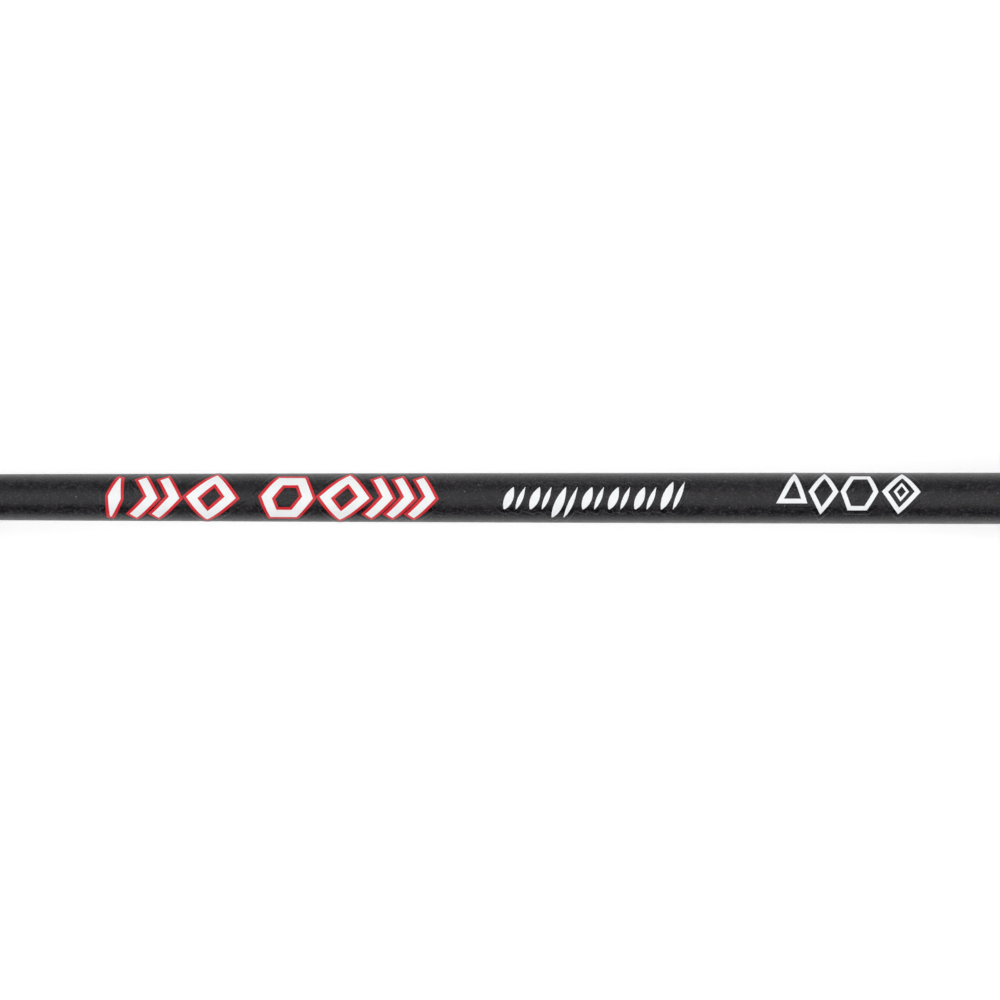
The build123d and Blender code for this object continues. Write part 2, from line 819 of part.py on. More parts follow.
# ---------------------------------------------------------------- tip guide
tip_plane = ring_plane(tip_at, tip_height, tip_tilt)
tip_tube_start = blank_tip_at - tip_tube_length
tip_tube_radius = blank_radius(tip_tube_start) + glue_gap + tip_tube_wall
tip_brace_top = tip_height + 0.1 * tip_ring_radius
tip_brace_run = 6.5

with BuildPart() as tip_top_frame:
    with BuildSketch(section_plane(tip_tube_start)):
        Circle(tip_tube_radius)
    extrude(amount=tip_tube_length + tip_tube_end)
    chamfer(tip_top_frame.edges(), 0.6 * tip_tube_wall)
    add(band(tip_plane, tip_ring_diameter, tip_band_wall))
    add(
        leg_sheet(
            tip_at, tip_height, tip_ring_radius - 0.25, tip_ring_diameter / 2 + glue_gap, 1.8, 0.8,
            [
                (tip_at - 0.4, tip_brace_top),
                (tip_at + 0.4, tip_brace_top),
                (tip_at + 0.4 - tip_brace_run, 0),
                (tip_at - 0.6 - tip_brace_run, 0),
            ],
        )
    )
    with BuildSketch(tip_plane.offset(-tip_ring_diameter)):
        Circle(tip_ring_diameter / 2 + glue_gap)
    extrude(amount=2 * tip_ring_diameter, mode=Mode.SUBTRACT)
    add(blank_envelope, mode=Mode.SUBTRACT)
keep(tip_top_frame.part, "tip_top_frame")
keep(ceramic_ring(tip_plane, tip_ring_diameter, tip_ring_wall), "tip_top_ring")
keep(winding(tip_tube_start - 6.0, tip_tube_start - glue_gap), "tip_top_wrap")

# ---------------------------------------------------------------- hook keeper
keeper_at = handle_end + keeper_gap + keeper_wrap_overhang
keeper_loop_at = keeper_at + keeper_foot
keeper_loop_end = keeper_loop_at + keeper_loop
keeper_end = keeper_loop_end + keeper_foot
keeper_low = blank_radius(keeper_at) + keeper_wire / 2 + glue_gap

with BuildPart() as hook_keeper:
    with BuildLine(side_plane) as keeper_route:
        FilletPolyline(
            (keeper_at, keeper_low),
            (keeper_loop_at, keeper_low),
            (keeper_loop_at, keeper_low + keeper_height),
            (keeper_loop_end, keeper_low + keeper_height),
            (keeper_loop_end, keeper_low),
            (keeper_end, keeper_low),
            radius=keeper_bend,
        )
    with BuildSketch(section_plane(keeper_at)):
        with Locations((0, keeper_low)):
            Circle(keeper_wire / 2)
    sweep(path=keeper_route.line)
keep(hook_keeper.part, "hook_keeper")


def keeper_foot_cover(start):
    """The bulge of the winding over one of the keeper's feet."""
    with BuildPart() as cover:
        with BuildSketch(section_plane(start)) as bulge:
            with BuildLine():
                CenterArc((0, keeper_low), keeper_wire / 2 + thread_wrap, 0, 360)
                for side in (-1, 1):
                    CenterArc((side * 1.9, 0.8 * blank_radius(start)), 0.3, 0, 360)
            make_hull()
        extrude(amount=keeper_foot - keeper_bend)
    return cover.part


for name, start in (("rear", keeper_at), ("front", keeper_loop_end + keeper_bend)):
    overhang = (keeper_wrap_overhang, 0.0) if name == "rear" else (0.0, keeper_wrap_overhang)
    wrap = winding(
        start - overhang[0],
        start + keeper_foot - keeper_bend + overhang[1],
        keeper_foot_cover(start),
        hook_keeper.part,
    )
    keep(wrap, f"keeper_wrap_{name}")

os.makedirs("parts", exist_ok=True)
for piece in pieces:
    export_step(piece, f"parts/{piece.label}.step")
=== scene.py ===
import math

import bmesh
import bpy
import numpy as np
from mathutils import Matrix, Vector


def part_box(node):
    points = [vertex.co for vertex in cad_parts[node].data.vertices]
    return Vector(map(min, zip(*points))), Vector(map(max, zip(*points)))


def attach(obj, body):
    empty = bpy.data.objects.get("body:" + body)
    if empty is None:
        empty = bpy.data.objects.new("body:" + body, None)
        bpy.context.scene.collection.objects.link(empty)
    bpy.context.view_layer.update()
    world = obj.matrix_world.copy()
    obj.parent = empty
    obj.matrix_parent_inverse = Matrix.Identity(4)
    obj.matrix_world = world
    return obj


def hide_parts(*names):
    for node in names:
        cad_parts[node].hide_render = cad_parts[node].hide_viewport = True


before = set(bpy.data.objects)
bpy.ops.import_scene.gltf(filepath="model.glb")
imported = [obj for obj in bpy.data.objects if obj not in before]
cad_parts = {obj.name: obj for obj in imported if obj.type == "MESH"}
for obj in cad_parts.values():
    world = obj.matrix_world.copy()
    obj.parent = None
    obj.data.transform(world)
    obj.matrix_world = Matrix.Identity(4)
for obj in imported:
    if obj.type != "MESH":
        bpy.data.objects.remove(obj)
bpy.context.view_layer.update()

# Everything below is worked out in millimetres and put into the meshes in metres.
MM = 0.001


# ---------------------------------------------------------------- what the frame says
def box_mm(node):
    """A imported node's lowest and highest corners, in millimetres."""
    low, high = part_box(node)
    return np.array(low) / MM, np.array(high) / MM


def packed_points(node):
    """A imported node's points, in millimetres."""
    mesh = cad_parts[node].data
    flat = np.empty(len(mesh.vertices) * 3)
    mesh.vertices.foreach_get("co", flat)
    return flat.reshape(-1, 3) / MM


def packed_outside(node):
    """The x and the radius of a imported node's points whose surface faces away from the rod's axis."""
    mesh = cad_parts[node].data
    flat = np.empty(len(mesh.vertices) * 3)
    mesh.vertex_normals.foreach_get("vector", flat)
    x, y, z = packed_points(node).T
    radius = np.hypot(y, z)
    outward = (flat.reshape(-1, 3)[:, 1:] * np.stack([y, z], axis=-1)).sum(axis=1) > 0.5 * radius
    return x[outward], radius[outward]


SAME_RADIUS = 0.001  # radii closer than this count as the same
SAME_PLACE = 0.01  # and places along the rod closer than this


def fit_blank():
    """The blank's radius along x: a straight butt, and then a square law fitted to the tapered part. It
    gives the butt's radius, where the taper starts, where the tip is, and how much the radius drops on
    the way."""
    x, radius = packed_outside("blank")
    butt_radius = radius.max()
    start = x[radius > butt_radius - SAME_RADIUS].min()
    tapered = x < start
    share = (start - x[tapered]) / (start - x.min())
    drop = np.sum((butt_radius - radius[tapered]) * share**2) / np.sum(share**4)
    return butt_radius, start, x.min(), drop


BUTT_RADIUS, TAPER_START, BLANK_TIP, TAPER_DROP = fit_blank()


def blank_radius(x):
    """The blank's radius at x: the butt's, less the drop times the square of the way along the taper."""
    share = np.clip((TAPER_START - x) / (TAPER_START - BLANK_TIP), 0.0, 1.0)
    return BUTT_RADIUS - TAPER_DROP * share**2


# ---------------------------------------------------------------- surfaces
def ring_faces(rows, columns, closed_rows):
    """The quads of a grid whose columns run round in a ring, and whose rows may be joined end to end."""
    index = np.arange(rows * columns).reshape(rows, columns)
    here = index if closed_rows else index[:-1]
    there = np.roll(index, -1, axis=0) if closed_rows else index[1:]
    corners = [here, np.roll(here, -1, axis=1), np.roll(there, -1, axis=1), there]
    return np.stack(corners, axis=-1).reshape(-1, 4)


def shell(grid, closed_rows=False):
    """A closed skin over a grid of points (rows, columns, 3) with ring-shaped rows. Open ends are closed
    with a fan of triangles to the middle of the end row, and the faces are turned outwards."""
    rows, columns, _ = grid.shape
    points = grid.reshape(-1, 3)
    quads = ring_faces(rows, columns, closed_rows)
    faces = [quads]
    if not closed_rows:
        ends = np.stack([grid[0].mean(axis=0), grid[-1].mean(axis=0)])
        points = np.concatenate([points, ends])
        first = np.arange(columns)
        last = first + (rows - 1) * columns
        poles = np.full(columns, rows * columns)
        faces.append(np.stack([poles, np.roll(first, -1), first], axis=-1))
        faces.append(np.stack([poles + 1, last, np.roll(last, -1)], axis=-1))
    triangles = np.concatenate([quads[:, [0, 1, 2]], quads[:, [0, 2, 3]], *faces[1:]])
    a, b, c = (points[triangles[:, corner]] for corner in range(3))
    volume = np.einsum("ij,ij->i", a, np.cross(b, c)).sum()
    if volume < 0:
        faces = [block[:, ::-1] for block in faces]
    return points, faces


def settle(name, mesh, finish, body, replaces, sharp):
    """Shades a finished mesh, links its object and says its body and the nodes that it stands
    for. Edges that turn by more than sharp degrees stay sharp."""
    mesh.update()
    mesh.validate()
    mesh.shade_smooth()
    mesh.set_sharp_from_angle(angle=math.radians(sharp))
    made = bpy.data.objects.new(name, mesh)
    bpy.context.scene.collection.objects.link(made)
    made.data.materials.append(finish.material)
    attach(made, body)
    if replaces:
        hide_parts(*replaces)
    return made


def piece(name, shells, finish, replaces=(), attributes=None):
    """Puts shells, in millimetres, into one object of the rod's body, in metres, with its finish. Its
    attributes are values for each point."""
    points, faces, start = [], [], 0
    for shell_points, blocks in shells:
        points.append(shell_points)
        faces.extend(face for block in blocks for face in (block + start).tolist())
        start += len(shell_points)
    mesh = bpy.data.meshes.new(name)
    mesh.from_pydata((np.concatenate(points) * MM).tolist(), [], faces)
    for key, values in (attributes or {}).items():
        mesh.attributes.new(key, "FLOAT", "POINT").data.foreach_set("value", values)
    settle(name, mesh, finish, "rod", replaces, 40.0)


def turned_shell(outline, segments=160):
    """A surface of revolution about the rod's axis: each outline point (x, radius) goes round in a
    circle. An outline that starts and ends on the axis is closed by its poles; any other is a loop."""
    x, radius = np.asarray(outline, dtype=float).T
    turn = np.linspace(0, 2 * math.pi, segments, endpoint=False)
    on_axis = radius[0] == 0 and radius[-1] == 0
    if on_axis:
        x, radius = x[1:-1], radius[1:-1]
    around = [radius[:, None] * np.cos(turn), radius[:, None] * np.sin(turn)]
    grid = np.stack([np.broadcast_to(x[:, None], (len(x), segments)), *around], axis=-1)
    return shell(grid, closed_rows=not on_axis)


# ---------------------------------------------------------------- shader maths
class Wire:
    """An output of a shader node. Python's operators on it add the Math nodes that work the sum out."""

    def __init__(self, finish, socket):
        self.finish, self.socket = finish, socket

    def math(self, operation, *others):
        """A Math node's result on this value and any others."""
        sockets = dict(enumerate((self, *others)))
        return self.finish.node("ShaderNodeMath", {"operation": operation}, sockets)

    def __add__(self, other):
        return self.math("ADD", other)

    __radd__ = __add__

    def __rsub__(self, other):
        return self.finish.node("ShaderNodeMath", {"operation": "SUBTRACT"}, {0: other, 1: self})

    def __mul__(self, other):
        return self.math("MULTIPLY", other)

    __rmul__ = __mul__

    def __gt__(self, other):
        return self.math("GREATER_THAN", other)

    def __lt__(self, other):
        return self.math("LESS_THAN", other)

    def ramp(self, low, high):
        """0 below low, 1 above high and a smooth step between."""
        sockets = {"Value": self, "From Min": low, "From Max": high}
        return self.finish.node("ShaderNodeMapRange", {"interpolation_type": "SMOOTHSTEP"}, sockets)


class Finish:
    """A material round one Principled shader. Its keyword values go straight onto its sockets."""

    def __init__(self, name, **constants):
        self.material = bpy.data.materials.new(name)
        self.material.use_nodes = True
        self.tree = self.material.node_tree
        self.tree.nodes.clear()
        self.shader = self.tree.nodes.new("ShaderNodeBsdfPrincipled")
        output = self.tree.nodes.new("ShaderNodeOutputMaterial")
        self.tree.links.new(self.shader.outputs[0], output.inputs[0])
        for key, value in constants.items():
            self.shader.inputs[key.replace("_", " ")].default_value = value
        self.place = self.node("ShaderNodeTexCoord", output="Object")

    def feed(self, socket, value):
        """Links a value to a socket, or sets the socket where the value is a plain number or colour."""
        if isinstance(value, Wire):
            self.tree.links.new(value.socket, socket)
        else:
            socket.default_value = value

    def node(self, kind, settings=None, sockets=None, output=0):
        """A new node of a kind, with its settings made first and its sockets fed, as one of its
        outputs."""
        made = self.tree.nodes.new(kind)
        for key, value in (settings or {}).items():
            setattr(made, key, value)
        for key, value in (sockets or {}).items():
            self.feed(made.inputs[key], value)
        return Wire(self, made.outputs[output])

    def set(self, socket, value):
        """Feeds one of the shader's sockets."""
        self.feed(self.shader.inputs[socket], value)

    def stretched(self, x, y, z):
        """The place on the rod, in units of x, y and z millimetres."""
        scale = (1 / (x * MM), 1 / (y * MM), 1 / (z * MM))
        return self.node("ShaderNodeVectorMath", {"operation": "MULTIPLY"}, {0: self.place, 1: scale})

    def noise(self, size, detail=2.0, roughness=0.5):
        """Noise from 0 to 1 with features of about size millimetres."""
        return self.noise_at(self.place, 1 / (size * MM), detail, roughness)

    def noise_at(self, place, scale, detail, roughness=0.5):
        """Noise from 0 to 1 on a place of its own."""
        sockets = {"Vector": place, "Scale": scale, "Detail": detail, "Roughness": roughness}
        return self.node("ShaderNodeTexNoise", {}, sockets)

    def cells(self, size, output="Distance"):
        """Scattered cells of about size millimetres: the distance to their points, or a colour for
        each."""
        sockets = {"Vector": self.place, "Scale": 1 / (size * MM)}
        return self.node("ShaderNodeTexVoronoi", {}, sockets, output)

    def specks(self, size, axis, rarity, reach):
        """1 on a few specks: the cells whose colour is above rarity on an axis, out to a share of their
        size."""
        seed = self.node("ShaderNodeSeparateXYZ", {}, {0: self.cells(size, "Color")}, axis)
        return (seed > rarity) * (self.cells(size) < reach)

    def mix(self, share, low, high):
        """A blend of two colours."""
        low, high = ((*c, 1.0) if isinstance(c, tuple) else c for c in (low, high))
        return self.node("ShaderNodeMix", {"data_type": "RGBA"}, {0: share, 6: low, 7: high}, 2)

    def attribute(self, name):
        """A value that the piece's mesh carries."""
        return self.node("ShaderNodeAttribute", {"attribute_name": name}, {}, "Fac")

    def relief(self, height, depth):
        """Bumps the normal by a height of 0 to 1 times a depth in millimetres."""
        sockets = {"Height": height, "Distance": depth * MM, "Strength": 1.0}
        self.set("Normal", self.node("ShaderNodeBump", {}, sockets))


# ---------------------------------------------------------------- finishes
def lacquer(name, gloss):
    """Satin black lacquer over carbon: a fine metallic grain of two sizes, and a few brighter flakes."""
    finish = Finish(name, IOR=1.46)
    mottle = finish.noise(0.9, 3.0).ramp(0.3, 0.7)
    grain = finish.noise(0.23, 2.0, 0.6).ramp(0.53, 0.66)
    flake = finish.specks(0.42, "X", 0.965, 0.2)
    black, grey = (0.0006, 0.0005, 0.0010), (0.0350, 0.0290, 0.0385)
    dark = finish.mix(0.22 * mottle + 0.78 * grain, black, grey)
    finish.set("Base Color", finish.mix(flake * 0.30, dark, (0.32, 0.32, 0.34)))
    finish.set("Roughness", gloss + 0.08 * mottle + 0.10 * grain)
    finish.relief(0.4 * mottle + 0.6 * grain, 0.022)
    return finish


def ink(name, colour):
    """Screen-printed ink: nearly even, with faint streaks and a slight relief."""
    finish = Finish(name)
    cloud = finish.noise(0.9, 3.0)
    streak = finish.noise_at(finish.stretched(0.9, 0.12, 0.12), 1.0, 2.0)
    thin = tuple(0.95 * channel for channel in colour)
    finish.set("Base Color", finish.mix(cloud.ramp(0.35, 0.7) * 0.6 + 0.25 * streak, thin, colour))
    finish.set("Roughness", 0.38 + 0.12 * cloud)
    finish.relief(streak, 0.003)
    return finish


def foam(name):
    """Fine closed-cell foam: small hollows of two sizes whose colour is darkened inside as painted shade,
    cloudy wear and almost no gloss.
    """
    finish = Finish(name, Sheen_Weight=0.25, Sheen_Roughness=0.6)
    pit_depth_and_shade = 1.0 - finish.cells(0.62).ramp(0.05, 0.45)
    fine = 1.0 - finish.cells(0.27).ramp(0.1, 0.5)
    wear = finish.noise(9.0, 4.0, 0.6)
    dark = finish.mix(wear.ramp(0.35, 0.7), (0.011, 0.011, 0.012), (0.024, 0.0235, 0.024))
    # painted shade: both sizes of hollow are coloured darker inside, where their relief is sunk
    finish.set("Base Color", finish.mix(0.6 * pit_depth_and_shade + 0.25 * fine, dark, (0.004, 0.004, 0.004)))
    finish.set("Roughness", 0.78 + 0.16 * wear)
    finish.relief(1.0 - (0.7 * pit_depth_and_shade + 0.3 * fine), 0.16)
    return finish


def moulded(name, low, high, gloss, grain_size=0.25, depth=0.012, flecks=0.0):
    """Moulded plastic or rubber: a fine spark-eroded grain, slow tone changes and, if asked for, a share
    of bright fibre flecks."""
    finish = Finish(name)
    grain = finish.noise(grain_size, 2.0, 0.6)
    tone = finish.noise(14.0, 3.0)
    colour = finish.mix(0.7 * tone + 0.3 * grain, low, high)
    if flecks:
        fleck = finish.specks(0.5, "Y", 1.0 - flecks, 0.3)
        colour = finish.mix(fleck * 0.5, colour, (0.22, 0.22, 0.23))
    finish.set("Base Color", colour)
    finish.set("Roughness", gloss + 0.14 * grain + 0.06 * tone)
    finish.relief(grain, depth)
    return finish


def worked_metal(name, low, high, gloss, mark):
    """Metal with tool marks: noise whose features are mark, three sizes in millimetres, with cloudy
    smudges."""
    finish = Finish(name, Metallic=1.0)
    marks = finish.noise_at(finish.stretched(*mark), 1.0, 3.0, 0.7)
    smudge = finish.noise(6.0, 3.0)
    finish.set("Base Color", finish.mix(0.6 * marks + 0.4 * smudge, low, high))
    finish.set("Roughness", gloss + 0.12 * marks + 0.10 * smudge)
    finish.relief(marks, 0.004)
    return finish


def polished_steel(name):
    """Dark polished stainless steel: a little tarnish and hairline scratches."""
    finish = Finish(name, Metallic=1.0)
    cloud = finish.noise(3.0, 4.0)
    hair = finish.noise_at(finish.stretched(0.05, 1.6, 1.6), 1.0, 2.0)
    finish.set("Base Color", finish.mix(cloud, (0.26, 0.26, 0.275), (0.40, 0.40, 0.415)))
    finish.set("Roughness", 0.16 + 0.10 * cloud + 0.08 * hair)
    finish.relief(hair, 0.0015)
    return finish


def ceramic(name):
    """Polished dark ceramic with a faint cloudiness."""
    finish = Finish(name, IOR=1.75, Coat_Weight=0.4, Coat_Roughness=0.03)
    cloud = finish.noise(0.8, 3.0)
    finish.set("Base Color", finish.mix(cloud, (0.016, 0.017, 0.02), (0.05, 0.052, 0.058)))
    finish.set("Roughness", 0.07 + 0.08 * cloud)
    return finish


TRIM_START, TRIM_END = 1.05, 1.85  # where a winding's red bands lie, measured in from its ends


def winding_finish(name):
    """Thread under clear epoxy. The thread's turns are ridges of the value 'turns', a count of turns
    along the winding, and red thread lies where 'inset', the distance from the nearer end, is in the
    trim's range."""
    finish = Finish(name, Coat_Weight=1.0, Coat_Roughness=0.04, Coat_IOR=1.54)
    turns, inset = finish.attribute("turns"), finish.attribute("inset")
    ridge_height_and_shade = (turns * (2 * math.pi)).math("SINE") * 0.5 + 0.5
    lay = finish.noise(0.7, 2.0)
    # painted shade and light: the thread is coloured darker in the grooves between turns and lighter on
    # their crests
    black = finish.mix(ridge_height_and_shade * 0.7 + 0.3 * lay, (0.004, 0.004, 0.005), (0.028, 0.028, 0.031))
    red = finish.mix(ridge_height_and_shade * 0.7 + 0.3 * lay, (0.16, 0.003, 0.006), (0.62, 0.02, 0.035))
    trim = (inset > TRIM_START) * (inset < TRIM_END)
    finish.set("Base Color", finish.mix(trim, black, red))
    finish.set("Roughness", 0.32 + 0.2 * lay)
    finish.relief(ridge_height_and_shade, 0.05)
    return finish


# tool marks that run round the rod's axis, and brushing along it
LATHE_MARK, BRUSH_MARK = (0.09, 40.0, 40.0), (18.0, 0.09, 0.09)

blank_lacquer = lacquer("satin_black_lacquer", 0.31)
film_lacquer = lacquer("lacquer_under_film", 0.26)
white_ink = ink("white_ink", (0.96, 0.975, 0.98))
red_ink = ink("red_ink", (0.70, 0.012, 0.024))
eva_foam = foam("eva_foam")
butt_rubber = moulded("butt_rubber", (0.010, 0.010, 0.010), (0.024, 0.024, 0.025), 0.62, 0.3, 0.03)
seat_nylon = moulded("graphite_nylon", (0.012, 0.012, 0.013), (0.030, 0.030, 0.033), 0.34, flecks=0.05)
lining = moulded("hood_lining", (0.02, 0.02, 0.021), (0.045, 0.045, 0.047), 0.5)
arbor_resin = moulded("arbor_resin", (0.45, 0.42, 0.33), (0.62, 0.58, 0.48), 0.7)
red_anodised = worked_metal("red_anodised", (0.36, 0.008, 0.016), (0.62, 0.022, 0.035), 0.20, LATHE_MARK)
gunmetal = worked_metal("gunmetal", (0.15, 0.15, 0.16), (0.27, 0.27, 0.285), 0.26, BRUSH_MARK)
nut_gunmetal = worked_metal("nut_gunmetal", (0.13, 0.13, 0.14), (0.24, 0.24, 0.255), 0.24, LATHE_MARK)
guide_steel = polished_steel("guide_steel")
guide_ceramic = ceramic("guide_ceramic")
thread = winding_finish("wound_thread")


# ---------------------------------------------------------------- blank
def blank_bore():
    """The bore's radius at the blank's butt and tip ends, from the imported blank's end rims."""
    x, y, z = packed_points("blank").T
    radius = np.hypot(y, z)
    return radius[x > x.max() - SAME_PLACE].min(), radius[x < x.min() + SAME_PLACE].min()


def make_blank():
    """The tapered tube: blank_radius at close steps along x, back through a straight-sided bore."""
    low, high = box_mm("blank")
    butt_bore, tip_bore = blank_bore()
    x = np.linspace(high[0], low[0], 240)
    outside = np.stack([x, blank_radius(x)], axis=-1)
    inside = np.array([[low[0], tip_bore], [high[0], butt_bore]])
    tube = turned_shell(np.concatenate([outside, inside]), segments=180)
    piece("blank_tube", [tube], blank_lacquer, replaces=["blank"])


# ---------------------------------------------------------------- print on the blank
# A mark is made of strokes on the unrolled blank: u runs along the rod to the butt, v runs round it.
PRINT_SINK = 0.05  # how far a stroke's underside is sunk into the lacquer
FILM_HEIGHT, RED_HEIGHT, WHITE_HEIGHT = 0.045, 0.054, 0.062
INK_EDGE, FILM_EDGE = 0.06, 0.08  # how wide their sloping edges are
OUTLINE = 0.36  # how far the red shows past the white
FILM_MARGIN = 0.60  # how far the clear film reaches past the ink
STROKE_STEP = 0.22  # how far apart a stroke's points are, so that it bends round the blank

# where the groups start along x, how many pairs of leaves there are, how they follow each other, and
# which of them reaches lower
BOLD_START, LEAF_START, FIGURE_START = -346.7, -297.4, -264.4
LEAF_COUNT, LEAF_PITCH, LOW_LEAF = 7, 3.2, 2
PAIR_PITCH = 1.42  # from a pair's broad leaf to its slim one
LINE, FINE_LINE = 0.33, 0.2  # half the widths of the figures' lines


def on_blank(u, v, height):
    """Rolls the flat (u, v) onto the blank: the angle is v over the radius at u, and the height adds to
    the radius."""
    radius = blank_radius(u)
    turn = v / radius
    return np.stack([u, (radius + height) * np.sin(turn), (radius + height) * np.cos(turn)], axis=-1)


def mitred(corners, closed):
    """For each corner of a flat path, the direction that offsets both of its sides by the same distance,
    which is the sum of the sides' normals over one plus their product, and the direction of the side
    ahead."""
    ahead = np.roll(corners, -1, axis=0) - corners
    if not closed:
        ahead[-1] = ahead[-2]
    ahead /= np.linalg.norm(ahead, axis=1)[:, None]
    normal = np.stack([-ahead[:, 1], ahead[:, 0]], axis=-1)
    before = np.roll(normal, 1, axis=0)
    if not closed:
        before[0] = normal[0]
    return (normal + before) / (1 + np.sum(normal * before, axis=1))[:, None], ahead


def stroke(corners, half_width, height, grow=0.0, closed=False, edge=INK_EDGE):
    """A raised stroke along a flat path: P(t) + s * w * M(t), where M is the mitred normal and s goes
    from -1 to 1. The top stands at the height inside a sloped edge, the underside is sunk, and grow
    widens and lengthens the stroke all round. The half widths are spread evenly along the path."""
    corners = np.array(corners, dtype=float)
    mitre, ahead = mitred(corners, closed)
    if closed:
        corners = np.concatenate([corners, corners[:1]])
        mitre = np.concatenate([mitre, mitre[:1]])
    else:
        corners[0] -= ahead[0] * grow
        corners[-1] += ahead[-1] * grow
    lengths = np.linalg.norm(np.diff(corners, axis=0), axis=1)
    place = np.concatenate([[0], np.cumsum(lengths)])
    total = place[-1]
    rows = np.unique(np.concatenate([np.linspace(0, total, int(total / STROKE_STEP) + 2), place]))
    if closed:
        rows = rows[:-1]
    else:
        rows = np.unique(np.concatenate([rows, [edge, total - edge]]))
    path = np.stack([np.interp(rows, place, corners[:, k]) for k in range(2)], axis=-1)
    side = np.stack([np.interp(rows, place, mitre[:, k]) for k in range(2)], axis=-1)
    width = np.interp(rows / total, np.linspace(0, 1, len(half_width)), half_width) + grow
    count = max(3, int(2 * width.max() / STROKE_STEP) + 2)
    inner = np.maximum(width - edge, 0.3 * width) / width
    across = inner[:, None] * np.linspace(-1, 1, count)
    rim = np.ones((len(rows), 1))
    lift = np.concatenate([0 * rim, height + 0 * across, 0 * rim], axis=1)
    if not closed:
        lift[[0, -1]] = 0.0
    share = np.concatenate([-rim, across, rim, across[:, ::-1]], axis=1)
    lift = np.concatenate([lift, 0 * across - PRINT_SINK], axis=1)
    flat = path[:, None] + share[..., None] * (width[:, None] * side)[:, None]
    return shell(on_blank(flat[..., 0], flat[..., 1], lift), closed_rows=closed)


def slanted(points, at, lean):
    """Places a mark's points, given about its own middle, at u on the blank, leaning to the butt as v
    grows."""
    points = np.array(points, dtype=float)
    return points + np.stack([at + lean * points[:, 1], 0 * points[:, 1]], axis=-1)


# Each shape below is a path, its half widths and whether the path is closed.
def spindle(half_width, rise):
    """A solid diamond: an upright stroke that is wide in its middle and thin at both ends."""
    return [(0.0, -rise), (0.0, rise)], [0.12, half_width, 0.12], False


def chevron(tip_at, half_width):
    """A chevron that points to the butt, with its corner at tip_at."""
    reach, rise = 1.9, 2.55
    return [(tip_at - reach, -rise), (tip_at, 0.0), (tip_at - reach, rise)], [half_width], False


def frame_of(sides, across, rise, half_width, turned=0.0):
    """A frame with straight sides: corners at even turns round an ellipse."""
    turn = math.radians(turned) + np.arange(sides) * 2 * math.pi / sides
    return np.stack([across * np.cos(turn), rise * np.sin(turn)], axis=-1), [half_width], True


def bold_marks():
    """The bold group: each mark's place along the blank from the group's start, and its shapes."""
    diamond = frame_of(4, 2.35, 2.5, 0.56)
    return [
        (1.1, [spindle(0.85, 2.7)]),
        (5.9, [chevron(-0.2, 0.58), chevron(2.5, 0.58)]),
        (12.9, [diamond]),
        (22.2, [frame_of(6, 2.5, 2.45, 0.62)]),
        (29.2, [diamond]),
        (35.9, [chevron(-1.4, 0.55), chevron(1.2, 0.55), chevron(3.8, 0.55)]),
    ]


def make_bold_print():
    """The bold group in three layers: the clear film, the red outline on it and the white on top."""
    film, red, white = [], [], []
    for at, shapes in bold_marks():
        for path, half_width, closed in shapes:
            flat = slanted(path, BOLD_START + at, lean=0.22)
            white.append(stroke(flat, half_width, WHITE_HEIGHT, closed=closed))
            red.append(stroke(flat, half_width, RED_HEIGHT, OUTLINE, closed))
            film.append(stroke(flat, half_width, FILM_HEIGHT, OUTLINE + FILM_MARGIN, closed, FILM_EDGE))
    piece("print_bold_film", film, film_lacquer)
    piece("print_bold_red", red, red_ink)
    piece("print_bold_white", white, white_ink)


def leaf_marks():
    """The row of small slanted leaves, in pairs of a broad one and a slim one: one pair reaches lower and
    the last reaches higher."""
    broad = [0.10, 0.40, 0.54, 0.58, 0.50, 0.32, 0.08]
    slim = [0.06, 0.24, 0.33, 0.35, 0.30, 0.18, 0.05]
    for number in range(LEAF_COUNT):
        low = -2.7 if number == LOW_LEAF else -1.45
        high = 2.1 if number == LEAF_COUNT - 1 else 1.35
        stem = slanted([(0.0, low), (0.0, high)], LEAF_START + number * LEAF_PITCH, lean=0.42)
        yield stem, broad, False
        yield stem + [PAIR_PITCH, 0.0], slim, False


def line_figures():
    """Four thin-lined figures: a triangle, a diamond, a hexagon and a diamond with a smaller one inside
    it."""
    middle = [0.0, 0.8]
    for offset, shapes in (
        (1.6, [frame_of(3, 1.7, 2.3, LINE, turned=90)]),
        (5.3, [frame_of(4, 1.5, 2.4, LINE)]),
        (9.7, [frame_of(6, 2.0, 2.35, LINE)]),
        (14.8, [frame_of(4, 2.0, 2.4, LINE), frame_of(4, 0.75, 0.95, FINE_LINE)]),
    ):
        for corners, half_width, closed in shapes:
            yield slanted(corners + middle, FIGURE_START + offset, lean=0.12), half_width, closed


def make_small_print():
    """The two small groups: white strokes on clear film."""
    film, white = [], []
    for path, half_width, closed in [*leaf_marks(), *line_figures()]:
        white.append(stroke(path, half_width, WHITE_HEIGHT, closed=closed))
        film.append(stroke(path, half_width, FILM_HEIGHT, FILM_MARGIN, closed, FILM_EDGE))
    piece("print_small_film", film, film_lacquer)
    piece("print_small_white", white, white_ink)


# ---------------------------------------------------------------- handle
SIDE_MARGIN = 0.3  # a turned piece's points this far outside its bore are its side
GRIP_ROUNDING, RING_ROUNDING = 0.45, 0.3
UNEVENNESS = 0.02
GROOVE_DEPTH, GROOVE_POWER = 0.16, 14  # a higher power makes a narrower groove
CAP_CORNER = 3.0
CAP_RIBS, RIB_DEPTH = 5, 0.35
CAP_LIP = 0.3  # the chamfer at the cap's open end


def turned_side(node):
    """A packed turned piece's side, as places along x from the butt to the tip and its greatest radius
    at each, and its bore's radius."""
    x, y, z = packed_points(node).T
    radius = np.hypot(y, z)
    bore = radius.min()
    side = radius > bore + SIDE_MARGIN
    places = np.unique(x[side].round(3))
    greatest = np.array([radius[side & (np.abs(x - place) < 0.002)].max() for place in places])
    out = np.linspace(places[-1], places[0], 80)
    return out, np.interp(out, places, greatest), bore


